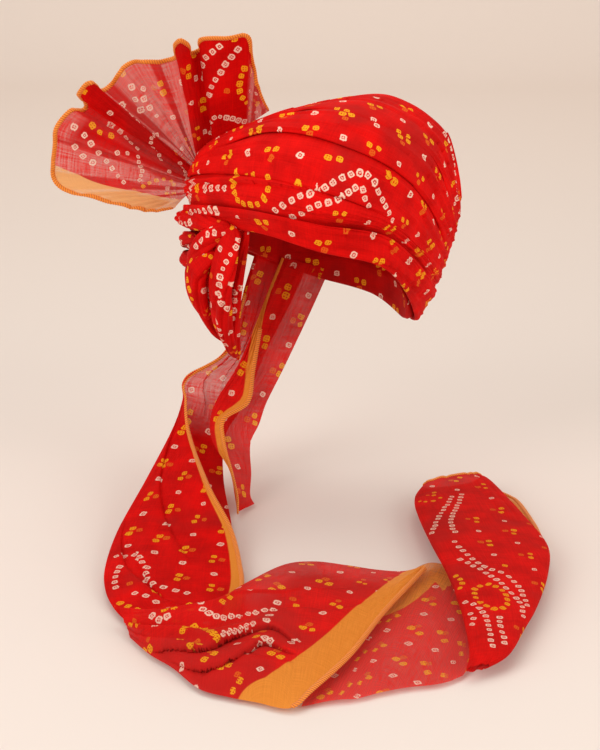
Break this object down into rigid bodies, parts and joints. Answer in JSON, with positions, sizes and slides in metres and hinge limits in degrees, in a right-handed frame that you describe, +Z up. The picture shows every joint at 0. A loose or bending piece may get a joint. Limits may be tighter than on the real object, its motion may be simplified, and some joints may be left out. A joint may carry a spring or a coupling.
{
  "type": "tied turban pagri",
  "caption": "Tied red cotton turban with tie-dyed dots, a pleated upright crest, a gathered hank over one ear and a long loose tail.",
  "frame": {"origin": "crown of the head that wears it, at the top of the head hollow", "axes": "+Z up, -Y the way the face looks, +X the wearer's left; the gathered hank and the crest are at -X"},
  "size_m": [0.436, 0.5432, 0.4401],
  "materials": {
    "inner_wraps": "thin dyed cotton",
    "outer_wraps": "thin dyed cotton",
    "hank_cloth": "thin dyed cotton",
    "crest_cloth": "thin dyed cotton",
    "tail_cloth": "thin dyed cotton",
    "tail_single_layer": "thin dyed cotton"
  },
  "bodies": {
    "root": {"wound_core": "inner_wraps", "wrap_brow": "outer_wraps", "wrap_second": "outer_wraps", "wrap_third": "outer_wraps", "wrap_fourth": "outer_wraps", "wrap_crown": "outer_wraps", "tie_roll": "hank_cloth", "hank_face_strand": "hank_cloth", "hank_lobe": "hank_cloth", "hank_back_strand": "hank_cloth", "hank_nape_strand": "hank_cloth", "turra_fan": "crest_cloth", "tail_fall": "tail_cloth", "tail_inner_fall": "tail_cloth", "tail_front_roll": "tail_cloth", "tail_sheer_layer": "tail_single_layer", "tail_folded_end": "tail_cloth", "tail_under_layer": "tail_single_layer"}
  },
  "joints": []
}
